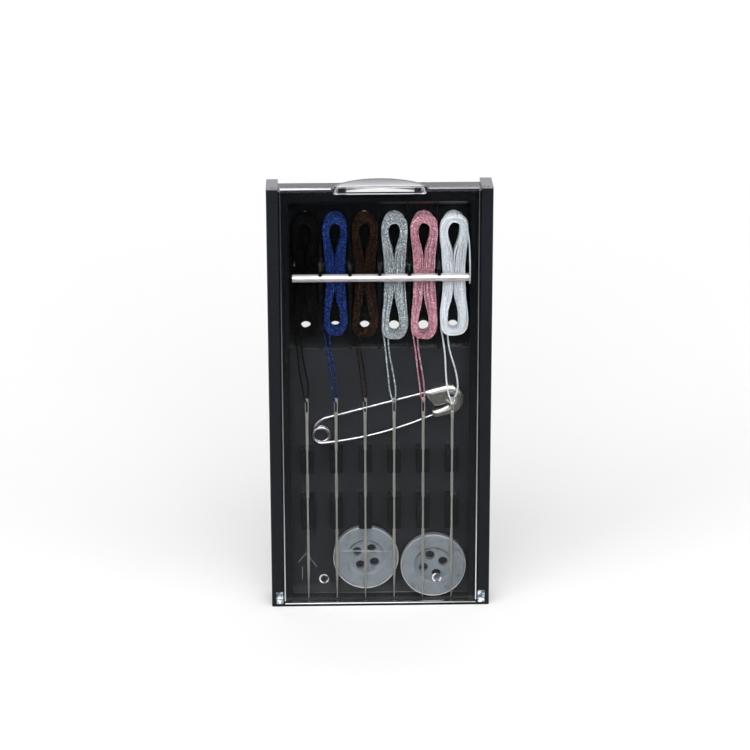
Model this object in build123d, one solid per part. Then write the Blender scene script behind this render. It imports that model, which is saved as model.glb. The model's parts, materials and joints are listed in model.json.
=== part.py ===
from build123d import *
import math
import os

os.makedirs("parts", exist_ok=True)

# Pocket sewing kit. Sizes in millimetres, angles in degrees.
# The pieces are drawn with the kit lying on its back: X across, Y up the kit,
# Z from the back towards the lid. stand_up() turns them to stand on the short end.

# Moulded case
case_width = 42.0
case_depth = 7.5
rail_height = 83.4
outer_round = 0.4
rail_width = 4.0
rail_lip_width = 2.2
rail_lip_thick = 0.8
rail_lip_start = 3.0
groove_wall = 0.85
floor_thick = 1.3
back_recess = 1.0
back_rim = 3.0
bottom_wall = 0.8
lid_sill = 0.4
step_height = 51.1
pocket_top = 79.96
end_bevel = 0.7

# Sliding lid
panel_thick = 0.85
tongue_thick = 0.65
tongue_reach = 1.3
panel_bevel = 0.6
slide_gap = 0.05
side_gap = 0.1
pip_radius = 0.95
pip_height = 0.4
pip_x = 10.9
pip_y = 5.3
pip_round = 0.25

# Pull lip on the lid's top end
lip_chord = 17.2
lip_arc = 9.6
lip_proud = 1.1
lip_thick = 1.41
lip_rise = 0.65
lip_round = 0.5
lip_edge_round = 0.25

# Thread lanes and their ribs
lane_count = 6
lane_pitch = 5.55
rib_thick = 0.6
rib_height = 1.8
saddle_length = 3.2
saddle_lid_gap = 0.5
lane_hole_radius = 1.06
lane_hole_inset = 3.34
lane_hole_rise = 3.95

# Plain steel bar across the hanks
bar_radius = 0.75
bar_left_gap = 0.6
bar_right_gap = 0.2
bar_y = 65.6
bar_chamfer = 0.15
bar_fit = 0.05
bar_lid_gap = 0.55
bar_mouth = 1.2

# Needles and their clips
needle_pitch = 5.52
needle_shift = -0.08
needle_radius = 0.28
needle_length = 41.0
needle_foot = 1.0
needle_point = 9.0
needle_tip_radius = 0.04
head_radius = 0.36
head_length = 5.0
head_thick = 0.46
head_round = 0.25
eye_length = 2.2
eye_width = 0.4
eye_drop = 1.75
needle_rise = 2.9
clip_width = 2.5
clip_overlap = 0.24
clip_fit = 0.02
clip_round = 0.3
lower_clip_start = 15.4
lower_clip_length = 6.5
upper_clip_start = 26.9
upper_clip_length = 4.7

# Safety pin
pin_wire = 0.65
pin_left_share = 0.814
pin_y = 33.9
pin_turn_radius = 1.55
pin_turn_sweep = 285.0
pin_turn_gap = 0.12
pin_floor_gap = 0.08
pin_angle = 15.0
pin_reach = 19.45
fixed_flare_radius = 3.42
fixed_end = 2.0
sharp_leave_angle = 5.0
sharp_spread = 4.85
sharp_point_setback = 0.6
sharp_point = 2.8
sharp_point_radius = 0.08
cap_wall = 0.2
cap_edge_round = 0.3
cap_gap = 0.05
cap_disc_radius = 3.0
cap_disc_x = 4.0
cap_lobe_x = 0.3
cap_foot_x = 1.1
cap_foot_radius = 0.9
cap_slit_stop = 0.6
cap_slit_drop = 1.05
cap_slit_open = 0.9
cap_eye_radius = 0.7

# Shirt buttons
button_radius = 6.35
button_thick = 1.9
button_rim = 2.6
button_well = 0.5
button_edge_round = 0.5
button_back_round = 2.1
button_back_rise = 0.6
button_hole_radius = 0.9
button_hole_square = 2.8
button_lean = 2.0
button_seat_gap = 0.06
right_button_gap = 0.38
right_button_turn = -27.0
button_spacing_gap = 0.34
left_button_gap = 0.1
left_button_turn = 12.0

# Thread: one tube for each hank, one for its tail through the needle
thread_radius = 0.15
hank_pitch = 0.745
hank_steps = 2.5
hank_layer_pitch = 1.0
hank_half_width = 2.42
hank_draw_in = 0.2
hank_end_gap = 2.7
hank_bottom = 53.65
hank_floor_gap = 0.12
hank_waist_length = 3.0
tail_lead = 0.4
eye_swing = 0.52
eye_slack = 0.12

colours = ["black", "blue", "brown", "grey", "pink", "white"]

# Tail routes from the hank to the eye and back, each point as
# (across from the needle, up from the crossing in the eye, out from the needle axis).
tail_down = {
    "black": [(-1.9, 11.6, -2.5), (-1.5, 8.6, -1.7), (-1.35, 5.6, -0.9), (-0.75, 3.2, 0.1), (-0.5, 1.3, 0.5)],
    "blue": [(-1.9, 11.6, -2.5), (-1.35, 8.6, -1.8), (-0.95, 5.6, -0.8), (-0.8, 3.2, 0.0), (-0.45, 1.3, 0.45)],
    "brown": [(-1.8, 11.6, -2.5), (-1.2, 8.6, -1.7), (-0.9, 5.6, -0.9), (-0.6, 3.2, 0.1), (-0.5, 1.3, 0.5)],
    "grey": [(-1.75, 11.6, -2.5), (-1.45, 8.6, -1.8), (-1.15, 5.6, -0.9), (-0.95, 3.2, 0.0), (-0.6, 1.3, 0.45)],
    "pink": [(-1.7, 11.6, -2.5), (-1.3, 8.6, -1.7), (-1.0, 5.6, -0.8), (-0.65, 3.2, 0.1), (-0.5, 1.3, 0.5)],
    "white": [(-1.7, 11.6, -2.5), (-1.3, 8.6, -1.8), (-1.25, 5.6, -0.8), (-1.05, 3.2, 0.0), (-0.7, 1.3, 0.45)],
}
tail_back = {
    "black": [(0.3, 1.3, -0.75), (0.4, 3.2, -0.95), (-0.2, 6.0, -1.3), (-0.75, 9.0, -2.1), (-1.0, 11.7, -2.6)],
    "blue": [(0.25, 1.3, -0.75), (0.1, 3.2, -0.95), (-0.2, 6.0, -1.4), (-0.8, 9.0, -2.1), (-1.1, 11.7, -2.6)],
    "brown": [(0.3, 1.3, -0.75), (0.2, 3.2, -0.95), (-0.15, 6.0, -1.3), (-0.7, 9.0, -2.1), (-1.0, 11.7, -2.6)],
    "grey": [(0.35, 1.3, -0.75), (0.25, 3.2, -0.95), (-0.25, 6.0, -1.4), (-0.85, 9.0, -2.1), (-1.1, 11.7, -2.6)],
    "pink": [(0.3, 1.3, -0.75), (0.15, 3.2, -0.95), (-0.2, 6.0, -1.3), (-0.8, 9.0, -2.1), (-1.05, 11.7, -2.6)],
    "white": [(1.0, 1.6, -0.75), (1.1, 3.4, -0.95), (0.6, 6.2, -1.4), (-0.4, 9.1, -2.1), (-0.85, 11.7, -2.6)],
}

# Planes and places that follow from the sizes
half_width = case_width / 2
opening_half = half_width - rail_lip_width
groove_half = half_width - groove_wall
pocket_half = half_width - rail_width
lane_floor = floor_thick
lower_floor = back_recess + floor_thick
lip_under = case_depth - rail_lip_thick
lid_under = lip_under - slide_gap - tongue_thick
groove_floor = lid_under - slide_gap
lid_foot = lid_sill + slide_gap
lip_bottom = rail_height + lip_rise - lip_thick
end_wall_top = lip_bottom - slide_gap
panel_half = opening_half - side_gap
panel_front = lip_under - slide_gap + panel_thick
tongue_half = panel_half + tongue_reach
bar_z = lid_under - bar_lid_gap - bar_radius
bar_length = 2 * pocket_half - bar_left_gap - bar_right_gap
bar_x = (bar_left_gap - bar_right_gap) / 2
saddle_top = lid_under - saddle_lid_gap
needle_z = lower_floor + needle_rise
eye_y = needle_foot + needle_length - eye_drop
eye_thread_y = eye_y + eye_length / 2 - eye_width / 2 - eye_slack
hank_top = pocket_top - hank_end_gap
cap_top = pin_wire / 2 + cap_gap + cap_wall
reach = 2 * case_depth

lane_x = [(i - (lane_count - 1) / 2) * lane_pitch for i in range(lane_count)]
needle_x = [(i - (lane_count - 1) / 2) * needle_pitch + needle_shift for i in range(lane_count)]
lid_travel = pocket_top - pip_y - pip_radius - slide_gap


def stand_up(shape):
    """Turn a piece from lying on its back to standing on the case's short end."""
    back_y = (case_depth + lip_proud) / 2
    return Plane(origin=(0, back_y, 0), x_dir=(1, 0, 0), z_dir=(0, -1, 0)) * shape


def slab(x0, x1, y0, y1, z0, z1):
    """A block given by its low and high limit on each axis."""
    middle = Pos((x0 + x1) / 2, (y0 + y1) / 2, (z0 + z1) / 2)
    return middle * Box(x1 - x0, y1 - y0, z1 - z0)


def single(shape):
    """The one solid that a piece consists of."""
    solids = shape.solids()
    if len(solids) != 1:
        raise ValueError(f"expected one solid, found {len(solids)}")
    return solids[0]


# Case

def case_shell():
    """The outer block with its lid way, pocket and back recess cut out."""
    shell = slab(-half_width, half_width, 0, rail_height, 0, case_depth)
    shell = fillet(shell.edges().filter_by(Axis.Y), outer_round)
    above = rail_height + reach
    shell -= slab(-opening_half, opening_half, lid_sill, above, groove_floor, reach)
    shell -= slab(-groove_half, groove_half, lid_sill, above, groove_floor, lip_under)
    shell -= slab(-groove_half, groove_half, lid_sill, rail_lip_start, groove_floor, reach)
    shell -= slab(-opening_half, opening_half, end_wall_top, above, -reach, reach)
    shell -= slab(-pocket_half, pocket_half, bottom_wall, step_height, lower_floor, reach)
    shell -= slab(-pocket_half, pocket_half, step_height, pocket_top, lane_floor, reach)
    recess_half = half_width - back_rim
    shell -= slab(-recess_half, recess_half, back_rim, step_height - floor_thick, -reach, back_recess)
    return shell


def end_wall_cut():
    """Wedge that slopes the end wall's front edge down into the pocket."""
    profile = Polyline(
        (pocket_top - end_bevel, groove_floor),
        (pocket_top + end_bevel, groove_floor),
        (pocket_top, groove_floor - end_bevel),
        (pocket_top - end_bevel, groove_floor - end_bevel),
        close=True,
    )
    side = Plane(origin=(-pocket_half, 0, 0), x_dir=(0, 1, 0), z_dir=(1, 0, 0))
    return extrude(side * make_face(profile), 2 * pocket_half)


def lane_ribs():
    """Low ribs between the lanes, each with a raised saddle for the bar."""
    ribs = []
    for left, right in zip(lane_x, lane_x[1:]):
        x0 = (left + right - rib_thick) / 2
        x1 = x0 + rib_thick
        ribs.append(slab(x0, x1, step_height, pocket_top, lane_floor, lane_floor + rib_height))
        y0 = bar_y - saddle_length / 2
        ribs.append(slab(x0, x1, y0, y0 + saddle_length, lane_floor, saddle_top))
    return ribs


def bar_notches():
    """Snap bore of the bar's saddles, open towards the lid."""
    bore = Pos(0, bar_y, bar_z) * Rot(0, 90, 0) * Cylinder(bar_radius + bar_fit, 2 * pocket_half)
    mouth = slab(-pocket_half, pocket_half, bar_y - bar_mouth / 2, bar_y + bar_mouth / 2, bar_z, reach)
    return bore + mouth


def needle_clip(x, y0, length):
    """One snap clip: a rounded block whose bore holds the needle's shank."""
    bore_radius = needle_radius + clip_fit
    front = needle_z + clip_overlap
    height = front - lower_floor
    block = slab(x - clip_width / 2, x + clip_width / 2, y0, y0 + length, lower_floor, front)
    block = fillet(block.edges().filter_by(Axis.Y).group_by(Axis.Z)[-1], min(clip_round, height / 4))
    bore = Pos(x, y0 + length / 2, needle_z) * Rot(90, 0, 0) * Cylinder(bore_radius, 2 * length)
    return block - bore


def lane_holes():
    """Round holes through each lane's floor near both ends of the hank."""
    holes = []
    for x in lane_x:
        for y in (step_height + lane_hole_rise, pocket_top - lane_hole_inset):
            holes.append(Pos(x, y, 0) * Cylinder(lane_hole_radius, 2 * reach))
    return holes


def make_tray():
    tray = case_shell() - end_wall_cut()
    for rib in lane_ribs():
        tray += rib
    tray -= bar_notches()
    for hole in lane_holes():
        tray -= hole
    for x in needle_x:
        tray += needle_clip(x, lower_clip_start, lower_clip_length)
        tray += needle_clip(x, upper_clip_start, upper_clip_length)
    return single(tray)


# Lid

def lid_pip(x):
    """Small domed stop on the lid's underside."""
    pip = Pos(x, pip_y, lid_under) * Cylinder(
        pip_radius, pip_height, align=(Align.CENTER, Align.CENTER, Align.MAX)
    )
    return fillet(pip.edges().group_by(Axis.Z)[0], min(pip_round, pip_height * 0.6))


def pull_lip():
    """D-shaped plate: straight edge proud of the rails, round edge over the end wall."""
    half = lip_chord / 2
    front = case_depth + lip_proud
    chord_to_centre = math.sqrt(lip_arc**2 - half**2)
    deepest = case_depth - (lip_arc - chord_to_centre)
    outline = Polyline((-half, case_depth), (-half, front), (half, front), (half, case_depth))
    outline += ThreePointArc((half, case_depth), (0, deepest), (-half, case_depth))
    bed = Plane(origin=(0, lip_bottom + lip_thick, 0), x_dir=(1, 0, 0), z_dir=(0, -1, 0))
    plate = extrude(bed * make_face(outline), lip_thick)
    ends = plate.faces().filter_by(Axis.Y).sort_by(Axis.Y)[0].edges().filter_by(Axis.Z)
    plate = fillet(ends, lip_round)
    return fillet(plate.faces().sort_by(Axis.Y)[-1].edges(), lip_edge_round)


def make_lid():
    panel = slab(-panel_half, panel_half, lid_foot, rail_height, lid_under, panel_front)
    panel = chamfer(panel.faces().sort_by(Axis.Z)[-1].edges(), panel_bevel)
    tongue_top = lid_under + tongue_thick
    lid = panel + slab(-tongue_half, tongue_half, lid_foot, rail_height, lid_under, tongue_top)
    lid += pull_lip()
    for x in (-pip_x, pip_x):
        lid += lid_pip(x)
    return single(lid)


# Bar and needles

def make_bar():
    bar = Cylinder(bar_radius, bar_length)
    bar = chamfer(bar.edges().filter_by(GeomType.CIRCLE), bar_chamfer)
    return single(Pos(bar_x, bar_y, bar_z) * Rot(0, 90, 0) * bar)


def make_needle(x):
    """Sharps needle: ground point, plain shank, flattened head with a long eye."""
    top = needle_length
    shoulder = top - head_length
    swell = top - eye_drop
    outline = Curve() + [
        Line((0, 0), (needle_tip_radius, 0)),
        TangentArc((needle_radius, needle_point), (needle_tip_radius, 0), tangent=(0, -1)),
        Line((needle_radius, needle_point), (needle_radius, shoulder)),
        Line((needle_radius, shoulder), (head_radius, swell)),
        Line((head_radius, swell), (head_radius, top - head_round)),
        TangentArc((head_radius, top - head_round), (head_radius - head_round, top), tangent=(0, 1)),
        Line((head_radius - head_round, top), (0, top)),
        Line((0, top), (0, 0)),
    ]
    needle = revolve(make_face(outline), Axis.Y)
    flat_start = shoulder + head_length / 4
    needle -= slab(-reach, reach, flat_start, top + reach, head_thick / 2, reach)
    needle -= slab(-reach, reach, flat_start, top + reach, -reach, -head_thick / 2)
    needle -= extrude(Pos(0, swell) * SlotOverall(eye_length, eye_width, rotation=90), reach, both=True)
    return single(Pos(x, needle_foot, needle_z) * needle)


# Thread

def wave(start, end, heading):
    """Two tangent arcs that step aside between two parallel runs, or one line."""
    if (end - start).cross(heading).length < 1e-6:
        return [Line(start, end)]
    middle = (start + end) * 0.5
    first = TangentArc(start, middle, tangent=heading)
    second = TangentArc(middle, end, tangent=first % 1)
    return [first, second]


def hank_run(x, z0, z1, bottom, top, going_up):
    """One side of a loop between its end turns, drawn in at the waist under the bar."""
    heading = Vector(0, 1 if going_up else -1, 0)
    waist_x = x - math.copysign(hank_draw_in, x)
    half_waist = hank_waist_length / 2
    z_low = z0 + (z1 - z0) / 3
    z_high = z1 - (z1 - z0) / 3
    y0, y1 = (bottom, top) if going_up else (top, bottom)
    stops = [
        Vector(x, y0, z0),
        Vector(waist_x, bar_y - heading.Y * half_waist, z_low),
        Vector(waist_x, bar_y + heading.Y * half_waist, z_high),
        Vector(x, y1, z1),
    ]
    edges = []
    for start, end in zip(stops, stops[1:]):
        edges += wave(start, end, heading)
    return edges


def hank_path():
    """Spiral in on the lower layer, climb along the innermost run, spiral out above it.

    Its last run goes down on the left, so the tail leaves from there.
    """
    widest = hank_half_width - thread_radius
    inner = widest - hank_steps * hank_pitch
    low = lane_floor + hank_floor_gap + thread_radius
    high = low + hank_layer_pitch
    top = hank_top - thread_radius - widest + hank_pitch / 4
    bottom = hank_bottom + thread_radius + widest - hank_pitch * 3 / 4
    half_turns = round(2 * hank_steps)
    runs = [(hank_steps - k / 2, low, low) for k in range(1, half_turns)]
    runs.append((0, low, high))
    runs += [(k / 2, high, high) for k in range(1, half_turns + 1)]
    edges = []
    side = 1
    going_up = True
    for step, z0, z1 in runs:
        run = hank_run(side * (inner + step * hank_pitch), z0, z1, bottom, top, going_up)
        if edges:
            edges.append(TangentArc(edges[-1] @ 1, run[0] @ 0, tangent=edges[-1] % 1))
        edges += run
        side = -side
        going_up = not going_up
    end = edges[-1] @ 1
    edges.append(Line(end, end - Vector(0, 2 * thread_radius, 0)))
    return edges


def least_gap(edges, spacing=0.25):
    """Least distance between the surfaces of runs that are not neighbours along the tube."""
    points = []
    for edge in edges:
        count = max(2, math.ceil(edge.length / spacing))
        points += [edge @ (k / count) for k in range(count)]
    skip = math.ceil(8 * thread_radius / spacing) + 2
    least = math.inf
    for i, point in enumerate(points):
        for other in points[i + skip:]:
            least = min(least, (point - other).length)
    return least - 2 * thread_radius


def tube(edges, radius):
    """A round tube along edges that join end to end."""
    path = Wire(edges)
    section = Plane(origin=edges[0] @ 0, z_dir=edges[0] % 0) * Circle(radius)
    return sweep(section, path=path)


def make_hank(x, edges):
    return single(Pos(x, 0, 0) * tube(edges, thread_radius))


def corner_radii(points):
    """Largest tidy radius at each corner: 0.45 of the shorter run over tan(half turn)."""
    radii = []
    for before, corner, after in zip(points, points[1:], points[2:]):
        arriving = corner - before
        leaving = after - corner
        half_turn = math.radians(arriving.get_angle(leaving)) / 2
        radii.append(0.45 * min(arriving.length, leaving.length) / math.tan(half_turn))
    return radii


def make_tail(colour, x, start):
    """Thread from the hank down through the needle's eye and back up beside itself."""
    origin = Vector(x, eye_thread_y, needle_z)
    points = [start, start - Vector(0, tail_lead, 0)]
    points += [origin + Vector(*point) for point in tail_down[colour]]
    points += [origin + Vector(0, 0, eye_swing), origin - Vector(0, 0, eye_swing)]
    points += [origin + Vector(*point) for point in tail_back[colour]]
    radii = corner_radii(points)
    print("tail", colour, "radii", " ".join(f"{radius:.1f}" for radius in radii))
    path = FilletPolyline(*points, radius=radii)
    tail = single(tube(path.edges(), thread_radius))
    share = tail.volume / (math.pi * thread_radius**2 * path.length)
    print("tail", colour, "length", round(path.length, 1), "volume share", round(share, 4))
    return tail


# Safety pin: drawn round the coil's centre, X along the kit's width

def pin_fixed_path():
    """Back turn of the coil, the wide flare and the straight fixed arm into the cap."""
    angle = math.radians(pin_angle)
    turn_start = 180 + pin_turn_sweep
    flare_centre = Vector(fixed_flare_radius - pin_turn_radius, 0)
    flare_end = flare_centre + Vector(-math.sin(angle), math.cos(angle)) * fixed_flare_radius
    heading = Vector(math.cos(angle), math.sin(angle))
    turn = ThreePointArc(
        pin_turn_point(turn_start),
        pin_turn_point(180 + pin_turn_sweep / 2),
        pin_turn_point(180),
    )
    flare = TangentArc(turn @ 1, flare_end, tangent=turn % 1)
    arm = Line(flare_end, flare_end + heading * (pin_reach + fixed_end))
    return [turn, flare, arm], flare_end + heading * pin_reach


def pin_turn_point(degrees):
    """A point of the coil's middle circle, counted anticlockwise from +X."""
    angle = math.radians(degrees)
    return Vector(math.cos(angle), math.sin(angle)) * pin_turn_radius


def pin_sharp_path(cap_origin):
    """Front turn of the coil and the bowed sharp arm up to where its point starts."""
    angle = math.radians(pin_angle)
    along = Vector(math.cos(angle), math.sin(angle))
    across = Vector(-math.sin(angle), math.cos(angle))
    foot = 270 + sharp_leave_angle
    turn = ThreePointArc(
        pin_turn_point(foot - pin_turn_sweep),
        pin_turn_point(foot - pin_turn_sweep / 2),
        pin_turn_point(foot),
    )
    entry = cap_origin - along * sharp_point_setback - across * sharp_spread
    return [turn, TangentArc(turn @ 1, entry, tangent=turn % 1)]


def pin_coil_x():
    """Where the coil lies across the pocket: the pin's free width is shared out left and right."""
    angle = math.radians(pin_angle)
    cap_origin = pin_fixed_path()[1]
    disc_v = cap_top - cap_disc_radius
    disc_x = cap_origin.X + cap_disc_x * math.cos(angle) - disc_v * math.sin(angle)
    left = pin_turn_radius + pin_wire / 2
    free = 2 * pocket_half - left - disc_x - cap_disc_radius
    return left + pin_left_share * free - pocket_half


def pin_place(shape, lift, slope):
    """Lay a pin piece on the case's lower floor, sloped along the pin by its arm's rise."""
    tilted = Rot(0, 0, pin_angle) * Rot(0, -slope, 0) * Rot(0, 0, -pin_angle)
    base = lower_floor + pin_floor_gap + pin_wire / 2
    return Pos(pin_x, pin_y, base + lift) * tilted * shape


def cap_outline(lobe_radius):
    """Two lobes that grow out of one disc: the upper holds the fixed arm, the lower the point."""
    disc_v = lobe_radius - cap_disc_radius
    disc = Pos(cap_disc_x, disc_v) * Circle(cap_disc_radius)
    upper = Pos(cap_lobe_x, 0) * Circle(lobe_radius)
    foot_v = disc_v - cap_disc_radius + cap_foot_radius
    lower = Pos(cap_foot_x, foot_v) * Circle(cap_foot_radius)
    outline = make_hull(disc.edges() + upper.edges())
    outline += make_hull(disc.edges() + lower.edges())
    return outline, disc_v


def make_cap(cap_origin):
    """Folded sheet cap, open on the side where the arms enter."""
    outline, disc_v = cap_outline(cap_top)
    half_room = pin_wire / 2 + cap_gap
    half_thick = half_room + cap_wall
    bottom = disc_v - cap_disc_radius
    room = offset(outline, -cap_wall)
    mouth_height = cap_top - bottom - 2 * cap_wall
    room += Pos(cap_foot_x, (cap_top + bottom) / 2) * Rectangle(
        cap_disc_x, mouth_height, align=(Align.MAX, Align.CENTER)
    )
    body = extrude(outline, half_thick, both=True)
    rims = body.faces().filter_by(Axis.Z).edges()
    body = fillet(rims, min(cap_edge_round, half_thick * 0.8))
    cap = body - extrude(room, half_room, both=True)
    slit_v = disc_v - cap_slit_drop
    wedge = make_face(Polyline(
        (cap_disc_x - cap_slit_stop, slit_v),
        (-cap_disc_x, slit_v + cap_slit_open),
        (-cap_disc_x, slit_v - cap_slit_open),
        close=True,
    ))
    cap -= extrude(wedge, half_thick, both=True)
    cap -= Pos(cap_disc_x + cap_eye_radius, disc_v) * Cylinder(cap_eye_radius, 3 * half_thick)
    angle = math.radians(pin_angle)
    place = Plane(
        origin=cap_origin,
        x_dir=(math.cos(angle), math.sin(angle), 0),
        z_dir=(0, 0, 1),
    )
    return place * cap


def make_pin():
    """The pin's three pieces: fixed wire with the back turn, cap, sharp arm with the front turn."""
    fixed_edges, cap_origin = pin_fixed_path()
    sharp_edges = pin_sharp_path(cap_origin)
    layer = pin_wire + pin_turn_gap
    slope = math.degrees(math.atan(layer / 2 / cap_origin.length))
    fixed = pin_place(tube(fixed_edges, pin_wire / 2), 0, slope)
    point = Cone(pin_wire / 2, sharp_point_radius, sharp_point, align=(Align.CENTER, Align.CENTER, Align.MIN))
    arm = tube(sharp_edges, pin_wire / 2)
    arm += Plane(origin=sharp_edges[-1] @ 1, z_dir=sharp_edges[-1] % 1) * point
    arm = pin_place(arm, layer, -slope)
    cap = pin_place(make_cap(cap_origin), layer / 2, 0)
    return single(fixed), single(cap), single(arm)


# Buttons

def make_button(x, y, turn):
    """Four-hole shirt button with a raised rim, leaning a little with its foot forward."""
    well_z = button_thick - button_well
    rim_inner = button_radius - button_rim
    outline = Curve() + [
        Line((0, 0), (button_radius - button_back_round, 0)),
        TangentArc(
            (button_radius - button_back_round, 0),
            (button_radius, button_back_rise),
            tangent=(1, 0),
        ),
        Line((button_radius, button_back_rise), (button_radius, button_thick - button_edge_round)),
        TangentArc(
            (button_radius, button_thick - button_edge_round),
            (button_radius - button_edge_round, button_thick),
            tangent=(0, 1),
        ),
        Line((button_radius - button_edge_round, button_thick), (rim_inner, button_thick)),
        Line((rim_inner, button_thick), (rim_inner - button_well, well_z)),
        Line((rim_inner - button_well, well_z), (0, well_z)),
        Line((0, well_z), (0, 0)),
    ]
    upright = Plane(origin=(0, 0, 0), x_dir=(1, 0, 0), z_dir=(0, -1, 0))
    button = revolve(upright * make_face(outline), Axis.Z)
    for place in GridLocations(button_hole_square, button_hole_square, 2, 2):
        button -= place * Cylinder(button_hole_radius, 4 * button_thick)
    seat = lower_floor + button_seat_gap + math.sin(math.radians(button_lean)) * button_radius
    return single(Pos(x, y, seat) * Rot(-button_lean, 0, 0) * Rot(0, 0, turn) * button)


# Every piece in its own file

pieces = {"tray": make_tray(), "lid": make_lid(), "thread_bar": make_bar()}
for number, x in enumerate(needle_x, start=1):
    pieces[f"needle_{number}"] = make_needle(x)

hank_edges = hank_path()
hank_length = sum(edge.length for edge in hank_edges)
print("hank length", round(hank_length, 1), "least gap", round(least_gap(hank_edges), 3))
hank_end = hank_edges[-1] @ 1
for colour, x, eye_x in zip(colours, lane_x, needle_x):
    pieces[f"thread_hank_{colour}"] = make_hank(x, hank_edges)
    pieces[f"thread_tail_{colour}"] = make_tail(colour, eye_x, hank_end + Vector(x, 0, 0))

pin_x = pin_coil_x()
pieces["safety_pin_frame"], pieces["safety_pin_cap"], pieces["safety_pin_arm"] = make_pin()
right_button_x = pocket_half - right_button_gap - button_radius
right_button_y = bottom_wall + button_seat_gap + button_radius
left_button_x = right_button_x - 2 * button_radius - button_spacing_gap
left_button_y = lower_clip_start - left_button_gap - button_radius
pieces["button_right"] = make_button(right_button_x, right_button_y, right_button_turn)
pieces["button_left"] = make_button(left_button_x, left_button_y, left_button_turn)

for node, piece in pieces.items():
    export_step(stand_up(piece), f"parts/{node}.step")

back_y = (case_depth + lip_proud) / 2
print("pieces", len(pieces), "lid travel", round(lid_travel, 2))
pin_height = lower_floor + pin_floor_gap + pin_wire
print("pin axis at", round(pin_x, 3), round(back_y - pin_height, 3), pin_y)
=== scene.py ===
import json
import math
import random

import bmesh
import bpy
from mathutils import Matrix, Vector

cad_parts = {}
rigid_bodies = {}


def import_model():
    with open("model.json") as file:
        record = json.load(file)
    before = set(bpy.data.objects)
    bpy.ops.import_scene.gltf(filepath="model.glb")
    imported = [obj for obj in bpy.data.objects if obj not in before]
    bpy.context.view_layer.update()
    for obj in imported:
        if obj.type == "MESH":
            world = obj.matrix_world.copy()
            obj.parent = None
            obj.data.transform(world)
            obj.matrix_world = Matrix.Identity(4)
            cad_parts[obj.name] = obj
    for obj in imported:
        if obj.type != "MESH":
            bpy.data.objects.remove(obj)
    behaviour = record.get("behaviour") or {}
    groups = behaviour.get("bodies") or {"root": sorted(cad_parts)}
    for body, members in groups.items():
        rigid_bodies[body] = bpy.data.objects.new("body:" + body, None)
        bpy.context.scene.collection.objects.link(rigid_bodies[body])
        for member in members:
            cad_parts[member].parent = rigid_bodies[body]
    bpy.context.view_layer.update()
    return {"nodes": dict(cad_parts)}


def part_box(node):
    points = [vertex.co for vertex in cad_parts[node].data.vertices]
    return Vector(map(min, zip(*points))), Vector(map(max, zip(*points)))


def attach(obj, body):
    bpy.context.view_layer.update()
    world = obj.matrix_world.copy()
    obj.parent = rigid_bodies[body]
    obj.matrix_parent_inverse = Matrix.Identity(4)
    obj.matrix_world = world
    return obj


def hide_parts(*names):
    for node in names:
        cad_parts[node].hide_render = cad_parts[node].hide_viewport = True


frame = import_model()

# Lengths are in metres, but for the dictionaries that say mm.
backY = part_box("tray")[1][1]  # the back of the case; depths below are counted from it towards the lid


def place(across, up, depth):
    return Vector((across, backY - depth, up))


def placeMm(across, up, depth):
    return place(across / 1000, up / 1000, depth / 1000)


def circleTurns(count):
    return [math.radians(step * 360 / count) for step in range(count)]


def addObject(name, data):
    piece = bpy.data.objects.new(name, data)
    bpy.context.scene.collection.objects.link(piece)
    return piece


def meshFrom(name, bm):
    mesh = bpy.data.meshes.new(name)
    bm.to_mesh(mesh)
    bm.free()
    return mesh


def giveMaterial(obj, material):
    obj.data.materials.clear()
    obj.data.materials.append(material)


def finishPiece(piece, body, slot, material, *replaced):
    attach(piece, body)
    if replaced:
        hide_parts(*replaced)
    giveMaterial(piece, material)


# camera
cameraView = {
    "azimuth": -1.27,
    "elevation": 19.0,
    "roll": -0.145,
    "distance": 0.525,
    "aim": (-0.0009, 0.0, 0.0461),
    "focalPixels": 2773.0,   # in the photo's 750 pixel frame
    "framePixels": 750.0,
    "sensorWidth": 36.0,     # mm
    "clip": (0.01, 20.0),
}


def makeCamera(view):
    azimuth = math.radians(view["azimuth"])
    elevation = math.radians(view["elevation"])
    back = Vector((
        math.sin(azimuth) * math.cos(elevation),
        -math.cos(azimuth) * math.cos(elevation),
        math.sin(elevation),
    ))
    data = bpy.data.cameras.new("photoCamera")
    camera = addObject("photoCamera", data)
    data.sensor_width = view["sensorWidth"]
    data.lens = view["focalPixels"] / view["framePixels"] * data.sensor_width
    data.clip_start, data.clip_end = view["clip"]
    turn = (-back).to_track_quat("-Z", "Y").to_matrix().to_4x4()
    roll = Matrix.Rotation(math.radians(view["roll"]), 4, "Z")
    camera.matrix_world = Matrix.Translation(Vector(view["aim"]) + back * view["distance"]) @ turn @ roll
    bpy.context.scene.camera = camera


makeCamera(cameraView)
print("camera placed")


# helpers for materials
def newMaterial(name):
    material = bpy.data.materials.new(name)
    material.use_nodes = True
    tree = material.node_tree
    return material, tree, tree.nodes["Principled BSDF"]


def setSockets(node, values):
    # each value is a number, a colour or another node's output
    for socket, value in values.items():
        if isinstance(value, bpy.types.NodeSocket):
            node.id_data.links.new(value, node.inputs[socket])
        else:
            node.inputs[socket].default_value = value


def addNode(tree, kind, values):
    node = tree.nodes.new(f"ShaderNode{kind}")
    setSockets(node, values)
    return node


def scaledCoordinates(tree, scale=(1, 1, 1), source="Object"):
    coordinates = addNode(tree, "TexCoord", {}).outputs[source]
    return addNode(tree, "Mapping", {"Vector": coordinates, "Scale": scale}).outputs["Vector"]


def splitAxes(tree, vector):
    return addNode(tree, "SeparateXYZ", {"Vector": vector}).outputs


def noiseOn(tree, vector, scale, detail=3.0, roughness=0.5):
    values = {"Vector": vector, "Scale": scale, "Detail": detail, "Roughness": roughness}
    return addNode(tree, "TexNoise", values).outputs["Fac"]


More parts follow.
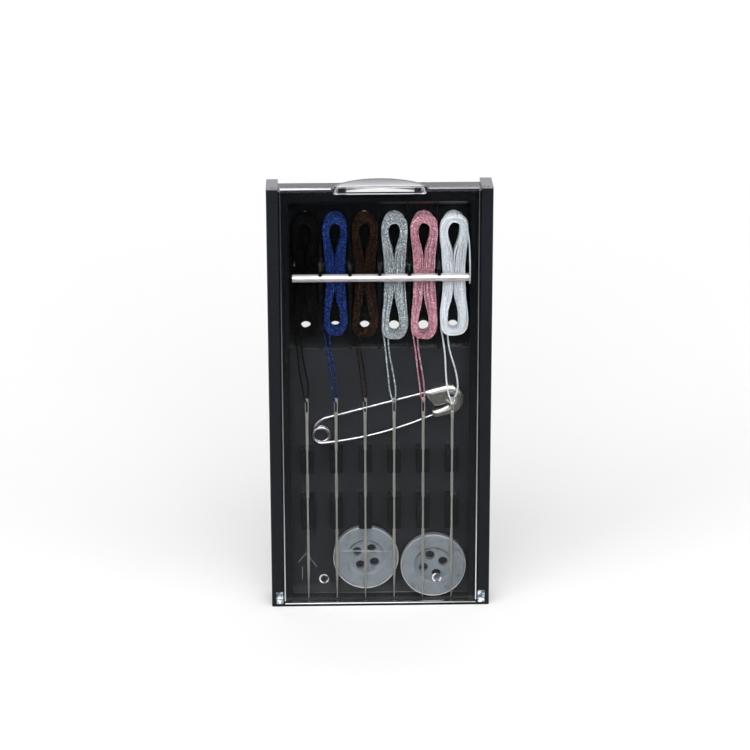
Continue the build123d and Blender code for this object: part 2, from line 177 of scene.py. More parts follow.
def rampOf(tree, factor, stops, interpolation="LINEAR"):
    # stops are (position, colour); the first and the last take the two stops a new ramp comes with
    ramp = addNode(tree, "ValToRGB", {"Fac": factor})
    ramp.color_ramp.interpolation = interpolation
    elements = ramp.color_ramp.elements
    ends = {0: 0, len(stops) - 1: -1}
    for number, (at, colour) in enumerate(stops):
        element = elements[ends[number]] if number in ends else elements.new(at)
        element.position = at
        element.color = (*colour, 1)
    return ramp.outputs["Color"]


def blendColours(tree, factor, colours, low=0.3, high=0.7):
    return rampOf(tree, factor, [(low, colours[0]), (high, colours[1])])


def rangeOf(tree, value, low=0.0, high=1.0, first=0.0, last=1.0, smooth=False):
    # first and last are where the value starts and ends; low and high are what they become
    values = {"Value": value, "From Min": first, "From Max": last, "To Min": low, "To Max": high}
    spread = addNode(tree, "MapRange", values)
    if smooth:
        spread.interpolation_type = "SMOOTHSTEP"
    return spread.outputs["Result"]


def bumpFrom(tree, height, distance, strength):
    values = {"Height": height, "Distance": distance, "Strength": strength}
    return addNode(tree, "Bump", values).outputs["Normal"]


def combine(tree, operation, *values):
    # a Math node
    node = addNode(tree, "Math", dict(enumerate(values)))
    node.operation = operation
    return node.outputs["Value"]


def layColour(tree, factor, under, colour):
    mix = addNode(tree, "Mix", {})
    mix.data_type = "RGBA"
    setSockets(mix, {"Factor": factor, 6: under, 7: (*colour, 1)})    # 6 and 7 are its two colours
    return mix.outputs[2]


def mixShaders(tree, factor, first, second):
    return addNode(tree, "MixShader", {"Fac": factor, 1: first, 2: second}).outputs["Shader"]


# thread: one cord for each hank and its tail
thread = {
    "diameter": 0.0003,
    "cutLength": 2.69,
    "turnsAcross": 5,
    "layers": 11,
    "firstDepth": 0.00158,       # the rearmost layer's middle
    "looseness": 0.00012,        # how far a strand strays from its place
    "loosenessInDepth": 0.6,     # share of that, from front to back
    "layerSwing": 0.5,           # every second layer lies half a strand aside
    "laneHalfWidth": 0.00236,    # the hank's half width between the ribs
    "ribTop": 0.0031,
    "firstSeed": 40,
}
hank = {
    "colours": ["black", "blue", "brown", "grey", "pink", "white"],    # from the left
    "laneX": [-0.013875, -0.008325, -0.002775, 0.002775, 0.008325, 0.013875],
    # up one side of a loop: height, half width of the open middle, half width of the hank, front depth
    "stations": [
        (0.0568, 0.00100, 0.00268, 0.0050),
        (0.0590, 0.00080, 0.00258, 0.0048),
        (0.0612, 0.00012, 0.00242, 0.0044),
        (0.0630, -0.00008, 0.00232, 0.0040),
        (0.0656, -0.00010, 0.00223, 0.0036),
        (0.0682, -0.00008, 0.00236, 0.0039),
        (0.0703, 0.00004, 0.00250, 0.0044),
        (0.0722, 0.00070, 0.00258, 0.0050),
        (0.0742, 0.00108, 0.00272, 0.0052),
    ],
    "waist": 4,                  # the station under the bar
    "top": 0.0780,
    "topLean": 0.0005,           # how much lower the front layers end
    "bottom": 0.05365,
    "bandAtTop": 0.00135,        # how thick the band of strands is over the open middle
    "bandAtBottom": 0.0015,
    # the bends' two points a side: share of the half width or of the rise, and what the ring adds to it
    "bendWidth": [(0.85, 0.12), (0.32, 0.24)],
    "bendRise": [(0.68, -0.08), (1.0, 0.0)],
    # how much lower each hank's lower loop hangs, and how wide each hank is
    "drop": {"black": 0.0, "blue": -0.0004, "brown": 0.0, "grey": 0.0005, "pink": 0.0005, "white": -0.0001},
    "dropReach": 0.006,          # the drop is full this far under the waist
    "spread": {"black": 0.97, "blue": 0.91, "brown": 0.99, "grey": 1.0, "pink": 1.03, "white": 1.09},
    # the white hank's first end hangs beside it and over the end of the bar:
    # from the lane's middle, up, depth
    "looseEnd": [
        (0.00296, 0.06450, 0.00495), (0.00300, 0.06560, 0.00566), (0.00300, 0.06720, 0.00560),
        (0.00294, 0.06960, 0.00540), (0.00286, 0.07200, 0.00526), (0.00262, 0.07420, 0.00512),
        (0.00215, 0.07560, 0.00500),
    ],
    "looseTakesOver": 10,        # the first winding points that it takes the place of
}
# Each tail's way from the hank to its needle's eye and back: across from the needle, up from the
# crossing in the eye, out from the needle
tail = {
    "start": (-0.00227, 0.0552, 0.00257),    # from the lane's middle: where the hank's last strand leaves
    "lead": 0.0004,
    "eyeHeight": 0.04103,
    "needleDepth": 0.0052,
    "eyeSwing": 0.00052,
    "end": (-0.0010, 0.0150, -0.0029),       # the free end, tucked under the hank
    "down": {
        "black": [
            (-0.0019, 0.0116, -0.0025), (-0.0015, 0.0086, -0.0017), (-0.00135, 0.0056, -0.0009),
            (-0.00075, 0.0032, 0.0001), (-0.0005, 0.0013, 0.0005),
        ],
        "blue": [
            (-0.0019, 0.0116, -0.0025), (-0.00135, 0.0086, -0.0018), (-0.00095, 0.0056, -0.0008),
            (-0.0008, 0.0032, 0.0), (-0.00045, 0.0013, 0.00045),
        ],
        "brown": [
            (-0.0018, 0.0116, -0.0025), (-0.0012, 0.0086, -0.0017), (-0.0009, 0.0056, -0.0009),
            (-0.0006, 0.0032, 0.0001), (-0.0005, 0.0013, 0.0005),
        ],
        "grey": [
            (-0.00175, 0.0116, -0.0025), (-0.00145, 0.0086, -0.0018), (-0.00115, 0.0056, -0.0009),
            (-0.00095, 0.0032, 0.0), (-0.0006, 0.0013, 0.00045),
        ],
        "pink": [
            (-0.0017, 0.0116, -0.0025), (-0.0013, 0.0086, -0.0017), (-0.0010, 0.0056, -0.0008),
            (-0.00065, 0.0032, 0.0001), (-0.0005, 0.0013, 0.0005),
        ],
        "white": [
            (-0.0017, 0.0116, -0.0025), (-0.0013, 0.0086, -0.0018), (-0.00125, 0.0056, -0.0008),
            (-0.00105, 0.0032, 0.0), (-0.0007, 0.0013, 0.00045),
        ],
    },
    "back": {
        "black": [
            (0.0003, 0.0013, -0.00075), (0.0004, 0.0032, -0.00095), (-0.0002, 0.0060, -0.0013),
            (-0.00075, 0.0090, -0.0021), (-0.0010, 0.0117, -0.0026),
        ],
        "blue": [
            (0.00025, 0.0013, -0.00075), (0.0001, 0.0032, -0.00095), (-0.0002, 0.0060, -0.0014),
            (-0.0008, 0.0090, -0.0021), (-0.0011, 0.0117, -0.0026),
        ],
        "brown": [
            (0.0003, 0.0013, -0.00075), (0.0002, 0.0032, -0.00095), (-0.00015, 0.0060, -0.0013),
            (-0.0007, 0.0090, -0.0021), (-0.0010, 0.0117, -0.0026),
        ],
        "grey": [
            (0.00035, 0.0013, -0.00075), (0.00025, 0.0032, -0.00095), (-0.00025, 0.0060, -0.0014),
            (-0.00085, 0.0090, -0.0021), (-0.0011, 0.0117, -0.0026),
        ],
        "pink": [
            (0.0003, 0.0013, -0.00075), (0.00015, 0.0032, -0.00095), (-0.0002, 0.0060, -0.0013),
            (-0.0008, 0.0090, -0.0021), (-0.00105, 0.0117, -0.0026),
        ],
        "white": [
            (0.0010, 0.0016, -0.00075), (0.0011, 0.0034, -0.00095), (0.0006, 0.0062, -0.0014),
            (-0.0004, 0.0091, -0.0021), (-0.00085, 0.0117, -0.0026),
        ],
    },
}


def loopStations():
    # One whole loop as (part, side, number): up the right, over the top, down the left, under the bottom
    count = len(hank["stations"])
    up = [("side", 1, k) for k in range(count)]
    over = [("top", 1, 0), ("top", 1, 1), ("top", -1, 1), ("top", -1, 0)]
    down = [("side", -1, count - 1 - k) for k in range(count)]
    under = [("bottom", -1, 0), ("bottom", -1, 1), ("bottom", 1, 1), ("bottom", 1, 0)]
    return up + over + down + under


def loopPoint(step, ring, layer, drop, spread, dice):
    # ring runs from 0, the innermost strand, to 1, the outermost; layer from 0, the back, to 1, the front
    kind, side, k = step
    radius = thread["diameter"] / 2
    stations = hank["stations"]
    index = {"side": k, "top": len(stations) - 1, "bottom": 0}[kind]
    height, middle, outer, front = stations[index]
    depth = thread["firstDepth"] + (front - radius - thread["firstDepth"]) * layer
    outer *= spread
    if depth < thread["ribTop"]:
        outer = min(outer, thread["laneHalfWidth"])
    halfWidth = middle + radius + (outer - middle - 2 * radius) * ring
    if kind != "side":
        end = hank["top"] - hank["topLean"] * layer if kind == "top" else hank["bottom"]
        band = hank["bandAtTop"] if kind == "top" else hank["bandAtBottom"]
        rise = abs(end - height) - radius - (band - 2 * radius) * (1 - ring)
        widthShare, ringWidth = hank["bendWidth"][k]
        riseShare, ringRise = hank["bendRise"][k]
        halfWidth *= widthShare + ringWidth * ring
        height += math.copysign(rise * (riseShare + ringRise * ring), end - height)
    waistHeight = stations[hank["waist"]][0]
    height -= drop * min(max((waistHeight - height) / hank["dropReach"], 0), 1)
    stray = thread["looseness"]
    return Vector((
        side * halfWidth + dice.uniform(-stray, stray),
        height + dice.uniform(-stray, stray),
        depth + dice.uniform(-stray, stray) * thread["loosenessInDepth"],
    ))


def hankPoints(drop, spread, dice):
    # The winding starts at the front, goes in and out through the layers and ends outermost at the back
    steps = loopStations()
    across = thread["turnsAcross"]
    layers = thread["layers"]
    turns = across * layers
    points = []
    for turn in range(turns):
        for k, step in enumerate(steps):
            if turn == turns - 1 and step == ("bottom", -1, 0):
                return points
            progress = turn + k / len(steps)
            level = min(int(progress / across), layers - 1)
            ring = (progress - level * across) / across
            ring = ring if (layers - level) % 2 else 1 - ring
            swing = thread["layerSwing"] / across * (level % 2)
            ring = min(max(ring * (1 - 1 / across) + swing, 0), 1)
            layer = 1 - min(progress / across, layers - 1) / (layers - 1)
            points.append(loopPoint(step, ring, layer, drop, spread, dice))
    return points


def threadRoute(number, colour):
    dice = random.Random(thread["firstSeed"] + number)
    lane = hank["laneX"][number]
    low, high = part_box(f"needle_{number + 1}")
    needleX = (low[0] + high[0]) / 2
    eyeHeight, needleDepth, eyeSwing = tail["eyeHeight"], tail["needleDepth"], tail["eyeSwing"]
    winding = hankPoints(hank["drop"][colour], hank["spread"][colour], dice)
    if colour == "white":
        winding = [Vector(point) for point in hank["looseEnd"]] + winding[hank["looseTakesOver"]:]
    route = [place(lane + p.x, p.y, p.z) for p in winding]
    startX, startUp, startDepth = tail["start"]
    route.append(place(lane + startX, startUp, startDepth))
    route.append(place(lane + startX, startUp - tail["lead"], startDepth))
    for across, up, out in tail["down"][colour]:
        route.append(place(needleX + across, eyeHeight + up, needleDepth + out))
    route.append(place(needleX, eyeHeight, needleDepth + eyeSwing))
    route.append(place(needleX, eyeHeight, needleDepth - eyeSwing))
    for across, up, out in tail["back"][colour] + [tail["end"]]:
        route.append(place(needleX + across, eyeHeight + up, needleDepth + out))
    return route


def makeThread(number, colour):
    name = f"thread_{colour}"
    route = threadRoute(number, colour)
    curve = bpy.data.curves.new(name, "CURVE")
    curve.dimensions = "3D"
    curve.bevel_resolution = 1
    curve.resolution_u = 3
    curve.use_fill_caps = True
    spline = curve.splines.new("NURBS")
    spline.points.add(len(route) - 1)
    for point, at in zip(spline.points, route):
        point.co = (*at, 1)
    spline.order_u = 3
    spline.use_endpoint_u = True
    drawn = bpy.data.objects.new(f"{name}Winding", curve)
    bare = bpy.data.meshes.new_from_object(drawn)     # the middle line, before the curve gets its thickness
    curve.bevel_depth = thread["diameter"] / 2
    cord = addObject(name, bpy.data.meshes.new_from_object(drawn))
    for spare in (drawn, curve, bare):
        bpy.data.batch_remove([spare])
    hidden = (f"thread_hank_{colour}", f"thread_tail_{colour}")
    finishPiece(cord, "tray", f"thread_{colour}", threadMaterial(colour), *hidden)


threadFinish = {
    # how much of the lamps each thread mirrors, and its soft bloom
    "gloss": {
        "black": (0.04, 0.0), "blue": (0.12, 0.0), "brown": (0.05, 0.0),
        "grey": (0.3, 0.12), "pink": (0.3, 0.05), "white": (0.4, 0.30),
    },
    # shade, body and painted glint of each spun thread; the glint is a painted highlight of single shining
    # fibres
    "colours": {
        "black": ((0.0005, 0.0005, 0.0006), (0.0016, 0.0016, 0.0018), (0.010, 0.010, 0.011)),
        "blue": ((0.0006, 0.0022, 0.020), (0.0018, 0.0082, 0.072), (0.040, 0.115, 0.46)),
        "brown": ((0.0014, 0.0010, 0.0008), (0.0040, 0.0026, 0.0021), (0.095, 0.045, 0.030)),
        "grey": ((0.10, 0.125, 0.145), (0.28, 0.32, 0.355), (0.92, 0.97, 1.0)),
        "pink": ((0.24, 0.070, 0.115), (0.52, 0.19, 0.25), (1.0, 0.72, 0.80)),
        "white": ((0.46, 0.52, 0.60), (0.88, 0.92, 0.97), (1.0, 1.0, 1.0)),
    },
    "patches": (3200, 4, 0.7),        # scale, detail and roughness of the fine unevenness
    "patchShare": 0.5,
    "turnStretch": (260, 0.4, 1),     # one shade for each turn of the winding
    "turnShare": 0.55,
    "shadeToBody": (0.38, 0.66),
    "paintedGlintScale": 5200,
    "paintedGlintFrom": (0.56, 0.62),         # where the noise is above these, a fibre is painted bright as a highlight
    "twist": (5200, 2, 1),
    "twistRelief": (0.00006, 0.8),    # depth and strength
    "roughness": (0.42, 0.62),
}


def threadMaterial(colour):
    finish = threadFinish
    shade, body, paintedGlint = finish["colours"][colour]
    gloss, bloom = finish["gloss"][colour]
    material, tree, shader = newMaterial(f"spunThread_{colour}")
    vector = scaledCoordinates(tree)
    patches = noiseOn(tree, vector, *finish["patches"])
    turns = noiseOn(tree, scaledCoordinates(tree, finish["turnStretch"], "UV"), 1.0, 1)
    part = combine(tree, "MULTIPLY", patches, finish["patchShare"])
    mixed = combine(tree, "MULTIPLY_ADD", turns, finish["turnShare"], part)
    spun = blendColours(tree, mixed, (shade, body), *finish["shadeToBody"])
    # painted highlight: single fibres painted bright where the noise is high
    first, last = finish["paintedGlintFrom"]
    lit = rangeOf(tree, noiseOn(tree, vector, finish["paintedGlintScale"], 1), first=first, last=last)
    # the twist of the ply along the thread
    along = scaledCoordinates(tree, finish["twist"], "UV")
    ply = addNode(tree, "TexWave", {"Vector": along, "Scale": 0.5, "Distortion": 1.5})
    ply.bands_direction = "DIAGONAL"
    setSockets(shader, {
        "Base Color": layColour(tree, lit, spun, paintedGlint),
        "Normal": bumpFrom(tree, ply.outputs["Fac"], *finish["twistRelief"]),
        "Roughness": rangeOf(tree, patches, *finish["roughness"]),
        "Specular IOR Level": gloss,
        "Sheen Weight": bloom,
        "Sheen Roughness": 0.4,
    })
    return material


for number, colour in enumerate(hank["colours"]):
    makeThread(number, colour)
print("thread wound")


# moulded case
caseFinish = {
    # painted shade and polish by depth from the back, in mm: up to that depth, how pale the black is (painted
    # darker as shade on the lane floors and on the clips, ribs and walls), how rough
    "shadeAndPolish": [
        (0.6, 0.0105, 0.24),       # back
        (2.22, 0.0045, 0.20),      # lane floors, painted darker as shade
        (2.38, 0.0135, 0.36),      # matt floor under the needles
        (7.42, 0.0050, 0.17),      # clips, ribs and walls, painted darker as shade
        (7.6, 0.0115, 0.22),       # front of the rails
    ],
    "tint": (0.86, 1.0, 1.26),     # the black is a little blue
    "sideFrom": 0.01705,           # from the middle: the outer side of the pocket's wall
    "sideShare": 0.5,              # the outer sides take the painted shade and polish of this share of the depth
    "backShare": 0.012,            # nearer the back than this share, they take the back's
    "topFrom": (0.0832, 0.08335),  # the end face is painted paler, as a painted reflection
    "endFaceGlareColour": (0.125, 0.118, 0.142),
    "flow": (90, 4),               # scale and detail of the mould's flow marks
    "flowPale": (0.8, 1.2),
    "flowRough": (-0.04, 0.05),
    "grain": (2400, 3),
    "grainRelief": (0.00001, 0.25),    # depth and strength
}


def casePlastic(finish):
    material, tree, shader = newMaterial("mouldedBlack")
    vector = scaledCoordinates(tree)
    flow = noiseOn(tree, vector, *finish["flow"])
    grain = noiseOn(tree, vector, *finish["grain"])
    axes = splitAxes(tree, vector)
    bands = finish["shadeAndPolish"]
    full = bands[-1][0]
    depth = rangeOf(tree, axes["Y"], first=backY, last=backY - full / 1000)
    # the outer sides take the walls' painted shade and polish at every depth but the back face
    outside = combine(tree, "GREATER_THAN", combine(tree, "ABSOLUTE", axes["X"]), finish["sideFrom"])
    offBack = combine(tree, "GREATER_THAN", depth, finish["backShare"])
    side = combine(tree, "MULTIPLY", combine(tree, "MULTIPLY", outside, offBack), finish["sideShare"])
    step = combine(tree, "MAXIMUM", depth, side)
    starts = [0] + [band[0] / full for band in bands[:-1]]
    shadedBlacks = [tuple(band[1] * part for part in finish["tint"]) for band in bands]
    roughs = [(band[2],) * 3 for band in bands]
    black = rampOf(tree, step, list(zip(starts, shadedBlacks)), "CONSTANT")
    rough = rampOf(tree, step, list(zip(starts, roughs)), "CONSTANT")
    shaded = addNode(tree, "VectorMath", {})
    shaded.operation = "SCALE"
    setSockets(shaded, {0: black, "Scale": rangeOf(tree, flow, *finish["flowPale"])})
    first, last = finish["topFrom"]
    glareOnTop = rangeOf(tree, axes["Z"], first=first, last=last)
    setSockets(shader, {
        "Base Color": layColour(tree, glareOnTop, shaded.outputs["Vector"], finish["endFaceGlareColour"]),
        "Roughness": combine(tree, "ADD", rough, rangeOf(tree, flow, *finish["flowRough"])),
        "Normal": bumpFrom(tree, grain, *finish["grainRelief"]),
        "Specular IOR Level": 0.5,
    })
    return material


giveMaterial(frame["nodes"]["tray"], casePlastic(caseFinish))

# In the notch at the foot of each rail a small moulded catch lies over the lid's tongue; its pale patches are
# painted highlights. Blocks in mm for the right-hand one: from and to across, from and to up, depth at the
# foot and at the top
footCatch = {
    "blocks": [
        (18.84, 19.92, 1.42, 2.72, 7.30, 6.90),
        (19.98, 20.14, 1.42, 2.72, 7.34, 7.00),
        (18.84, 20.14, 0.44, 1.22, 7.34, 7.02),
    ],
    "under": 6.72,
    "edgeRound": 0.05,
    # the dark plastic, and the pale colour of its painted highlights
    "colours": ((0.07, 0.09, 0.12), (0.62, 0.70, 0.80)),
    "patches": (1500, 2),
    "glintEdge": (0.42, 0.56),
}


def makeFootCatch(name, side):
    bm = bmesh.new()
    for near, far, low, high, footDepth, topDepth in footCatch["blocks"]:
        corners = []
        for up, depth in ((low, footDepth), (high, topDepth)):
            for across in (near, far):
                for level in (footCatch["under"], depth):
                    corners.append(bm.verts.new(placeMm(side * across, up, level)))
        bmesh.ops.convex_hull(bm, input=corners)
    bmesh.ops.recalc_face_normals(bm, faces=bm.faces)
    piece = addObject(name, meshFrom(name, bm))
    bevel = piece.modifiers.new("edges", "BEVEL")
    bevel.width = footCatch["edgeRound"] / 1000
    bevel.segments = 2
    finishPiece(piece, "tray", "case_plastic", catchPlastic())


def catchPlastic():
    material, tree, shader = newMaterial("catchPaintedGlints")
    # painted highlights in patches over the dark plastic
    patches = noiseOn(tree, scaledCoordinates(tree), *footCatch["patches"])
    shades = blendColours(tree, patches, footCatch["colours"], *footCatch["glintEdge"])
    setSockets(shader, {"Base Color": shades, "Roughness": 0.15, "Specular IOR Level": 0.8})
    return material


makeFootCatch("footCatch_left", -1)
makeFootCatch("footCatch_right", 1)
print("case finished")


# clear lid
clearLid = {
    "colour": (0.985, 0.99, 0.99, 1),
    "index": 1.49,
    "wear": (300, 3),                # scale and detail of the fine rubbing
    "roughness": (0.0, 0.004),
    "shadowColour": (0.93, 0.94, 0.94, 1),
}


def clearPlastic(lid):
    material, tree, shader = newMaterial("clearStyrene")
    rubbed = noiseOn(tree, scaledCoordinates(tree), *lid["wear"])
    setSockets(shader, {
        "Base Color": lid["colour"],
        "Roughness": rangeOf(tree, rubbed, *lid["roughness"]),
        "IOR": lid["index"],
        "Transmission Weight": 1.0,
    })
    # light that falls on the inside goes straight through
    shadow = addNode(tree, "LightPath", {}).outputs["Is Shadow Ray"]
    clear = addNode(tree, "BsdfTransparent", {"Color": lid["shadowColour"]})
    mixed = mixShaders(tree, shadow, shader.outputs["BSDF"], clear.outputs["BSDF"])
    setSockets(tree.nodes["Material Output"], {"Surface": mixed})
    return material


# Fine lines of the lid, in mm: across, up, depth. The edge, foot and top lines, the lip's rim and face
# and the stop rims are painted highlights and reflections. Shades are (metres along the line, grey)
lidLines = {
    "edgeAcross": 18.42,
    "edgeDepth": 7.24,
    "edgeUp": (1.0, 82.9),
    "edgeRadius": 0.11,
    "edgeHighlights": {
        "left": [(0.004, 0.58), (0.011, 0.46), (0.024, 0.24), (0.052, 0.12), (0.071, 0.035), (0.084, 0.03)],
        "right": [(0.004, 0.70), (0.011, 0.60), (0.024, 0.32), (0.052, 0.17), (0.071, 0.08), (0.084, 0.05)],
    },
    "footUp": 0.52,
    "footDepth": 7.38,
    "footHighlights": [(-0.0185, 0.75), (-0.012, 0.95), (0.006, 0.80), (0.0185, 0.35)],
    "topUp": 83.3,
    "topDepths": (7.28, 6.75),
    "topAcross": (9.0, 18.4),
    "topRadius": 0.1,
    "topGlareShades": [(-0.0185, 0.95), (-0.009, 0.72), (0.009, 0.42), (0.0185, 0.34)],
    "glareTint": (1.0, 0.93, 1.08),
    "lipEnds": 8.25,
    "lipFront": 8.5,
    "lipHeights": (82.74, 83.93),
    "lipRadius": 0.07,
    "lipRimGlare": (0.85, 0.65, 0.42),          # painted highlight at the foot, middle and top of its rim
    "lipReflectionSheet": {"chord": 8.1, "radius": 9.2, "front": 8.2, "top": 84.03, "thick": 0.06, "steps": 32},
    "lipReflectionShades": [(0.0083, 0.62), (0.0070, 0.36), (0.0050, 0.17), (0.0030, 0.09), (0.0022, 0.03)],
    "lipReflectionTint": (1.0, 0.97, 1.05),
    "faceDepth": 7.5,                        # the arrows and the scratches
    "arrowLeft": [
        [(-15.75, 9.30), (-14.25, 11.18), (-12.30, 8.30)],
        [(-15.05, 8.30), (-15.05, 5.60)],
    ],
    "arrowRight": [
        [(12.95, 8.30), (14.70, 11.10), (16.30, 9.10)],
        [(15.65, 8.20), (15.65, 5.60)],
    ],
    "arrowRadius": 0.045,
    # the arrows' own faint tone, with a painted highlight that grows paler towards their heads
    "arrowShades": [(0.004, 0.16), (0.012, 0.42)],
    "scratches": [
        [(-8.6, 11.66), (-5.6, 11.60), (-0.6, 11.55)],
        [(-7.4, 11.36), (-1.0, 11.32), (2.6, 11.30)],
    ],
    "scratchRadius": 0.03,
    "scratchShades": [(-0.009, 0.12), (-0.005, 0.50), (0.000, 0.62), (0.003, 0.20)],
    "ringAcross": 10.9,
    "ringUp": 5.3,
    "ringDepth": 5.93,
    "ringRadius": 0.80,
    "ringThick": 0.14,
    "ringGlintColours": ((0.10, 0.11, 0.12), (0.95, 0.96, 1.0)),
    "ringNoise": (850, 1),
    "ringEdge": (0.40, 0.52),
}
lineFinish = {
    "wear": 0.12,                    # how far noise shifts the shades along a bright edge, as a share of it
    "wearNoise": (700, 3),
    "roughness": 0.35,
}


def fineLine(name, points, radius, material, body, slot, closed=False):
    curve = bpy.data.curves.new(name, "CURVE")
    curve.dimensions = "3D"
    curve.bevel_depth = radius / 1000
    curve.bevel_resolution = 2
    curve.use_fill_caps = True
    spline = curve.splines.new("POLY")
    spline.points.add(len(points) - 1)
    spline.use_cyclic_u = closed
    for point, at in zip(spline.points, points):
        point.co = (*placeMm(*at), 1)
    drawn = bpy.data.objects.new(f"{name}Line", curve)
    piece = addObject(name, bpy.data.meshes.new_from_object(drawn))
    bpy.data.batch_remove([drawn, curve])
    finishPiece(piece, body, slot, material)


def lidLine(name, points, radius, material, closed=False):
    fineLine(name, points, radius, material, "lid", "clear_plastic", closed)


def markAndHighlightLine(name, stops, axis="Z", gloss=0.3, tint=(0.98, 1.0, 1.02)):
    # paler or darker along a line, mostly as painted highlights and reflections, on scratches and the ejector
    # mark as their own tone: stops are (metres along the axis, grey)
    material, tree, shader = newMaterial(name)
    vector = scaledCoordinates(tree)
    first, last = stops[0][0], stops[-1][0]
    along = rangeOf(tree, splitAxes(tree, vector)[axis], first=first, last=last)
    uneven = noiseOn(tree, vector, *lineFinish["wearNoise"])
    worn = combine(tree, "MULTIPLY_ADD", uneven, lineFinish["wear"], along)
    middle = lineFinish["wear"] / 2      # what the noise adds on the whole
    shades = []
    for at, grey in stops:
        share = middle + (at - first) / (last - first) * (1 - middle)
        shades.append((share, tuple(grey * part for part in tint)))
    setSockets(shader, {
        "Base Color": rampOf(tree, worn, shades),
        "Roughness": lineFinish["roughness"],
        "Specular IOR Level": gloss,
    })
    return material


def makeLidEdges(lines):
    # painted highlights: bright lines along the lid's bevelled edges, its foot and its top
    across, depth = lines["edgeAcross"], lines["edgeDepth"]
    for side, x in (("left", -across), ("right", across)):
        line = [(x, up, depth) for up in lines["edgeUp"]]
        shaded = markAndHighlightLine(f"markAndHighlightLine_{side}", lines["edgeHighlights"][side])
        lidLine(f"lidEdge_{side}", line, lines["edgeRadius"], shaded)
    foot = markAndHighlightLine("paintedFootHighlight", lines["footHighlights"], "X")
    line = [(x, lines["footUp"], lines["footDepth"]) for x in (-across, across)]
    lidLine("lidEdge_foot", line, lines["edgeRadius"], foot)
    pale = markAndHighlightLine("paintedTopGlare", lines["topGlareShades"], "X", tint=lines["glareTint"])
    for side, sign in (("left", -1), ("right", 1)):
        for number, topDepth in enumerate(lines["topDepths"]):
            line = [(sign * x, lines["topUp"], topDepth) for x in lines["topAcross"]]
            lidLine(f"lidTopGlare_{side}_{number}", line, lines["topRadius"], pale)


def makeLipRim(lines):
    low, high = lines["lipHeights"]
    middle, half = (low + high) / 2, (high - low) / 2
    outline = []
    for sign in (1, -1):
        for step in range(9):              # half a circle at each end
            turn = math.pi * (step / 8 - 0.5)
            across = sign * (lines["lipEnds"] - half + half * math.cos(turn))
            outline.append((across, middle + sign * half * math.sin(turn), lines["lipFront"]))
    # the rim is a painted highlight round the lip's front, paler at its foot
    shades = list(zip((low / 1000, middle / 1000, high / 1000), lines["lipRimGlare"]))
    rim = markAndHighlightLine("lipRimHighlight", shades, tint=lines["glareTint"])
    lidLine("lipRimHighlight", outline, lines["lipRadius"], rim, closed=True)


def makeLipFace(lines):
    # the lip's upper face drawn as a painted reflection: a thin D just under its clear surface, pale at the
    # front and darker towards the back
    face = lines["lipReflectionSheet"]
    radius = face["radius"]
    reach = math.asin(face["chord"] / radius)
    centre = face["front"] + math.sqrt(radius ** 2 - face["chord"] ** 2)
    rim = []
    for step in range(face["steps"] + 1):
        turn = -reach + 2 * reach * step / face["steps"]
        rim.append((radius * math.sin(turn), centre - radius * math.cos(turn)))
    bm = bmesh.new()
    rings = []
    for up in (face["top"] - face["thick"], face["top"]):
        rings.append([bm.verts.new(placeMm(across, up, depth)) for across, depth in rim])
    for ring in rings:
        bm.faces.new(ring)
    for step in range(len(rim)):
        after = (step + 1) % len(rim)
        bm.faces.new((rings[0][step], rings[0][after], rings[1][after], rings[1][step]))
    bmesh.ops.recalc_face_normals(bm, faces=bm.faces)
    piece = addObject("lipReflectionSheet", meshFrom("lipReflectionSheet", bm))
    shades = [(backY - depth, grey) for depth, grey in lines["lipReflectionShades"]]
    satin = markAndHighlightLine("lipPaintedReflection", shades, "Y", tint=lines["lipReflectionTint"])
    finishPiece(piece, "lid", "clear_plastic", satin)


def makeLidMarks(lines):
    # the arrows are real moulded marks, drawn paler upwards as a painted highlight
    faint = markAndHighlightLine("mouldedArrowHighlight", lines["arrowShades"], gloss=0.05)
    for side in ("Left", "Right"):
        for number, points in enumerate(lines[f"arrow{side}"]):
            line = [(x, up, lines["faceDepth"]) for x, up in points]
            lidLine(f"lidArrow{side}_{number}", line, lines["arrowRadius"], faint)
    hair = markAndHighlightLine("fineScratch", lines["scratchShades"], "X")
    for number, points in enumerate(lines["scratches"]):
        line = [(x, up, lines["faceDepth"]) for x, up in points]
        lidLine(f"lidScratch_{number}", line, lines["scratchRadius"], hair)
    # the stop rims: rings of painted highlight round the stops
    paintedGlint = glintPlastic(lines)
    radius = lines["ringRadius"]
    for side, x in (("left", -lines["ringAcross"]), ("right", lines["ringAcross"])):
        ring = []
        for turn in circleTurns(30):
            up = lines["ringUp"] + radius * math.sin(turn)
            ring.append((x + radius * math.cos(turn), up, lines["ringDepth"]))
        lidLine(f"stopRim_{side}", ring, lines["ringThick"], paintedGlint, closed=True)


def glintPlastic(lines):
    # the stops' round rims: painted highlights in patches, where the clear plastic gathers light
    material, tree, shader = newMaterial("paintedRingGlint")
    arcs = noiseOn(tree, scaledCoordinates(tree), *lines["ringNoise"])
    shades = blendColours(tree, arcs, lines["ringGlintColours"], *lines["ringEdge"])
    setSockets(shader, {"Base Color": shades, "Roughness": 0.12, "Specular IOR Level": 0.7})
    return material


giveMaterial(frame["nodes"]["lid"], clearPlastic(clearLid))
makeLidEdges(lidLines)
makeLipRim(lidLines)
makeLipFace(lidLines)
makeLidMarks(lidLines)
print("lid finished")


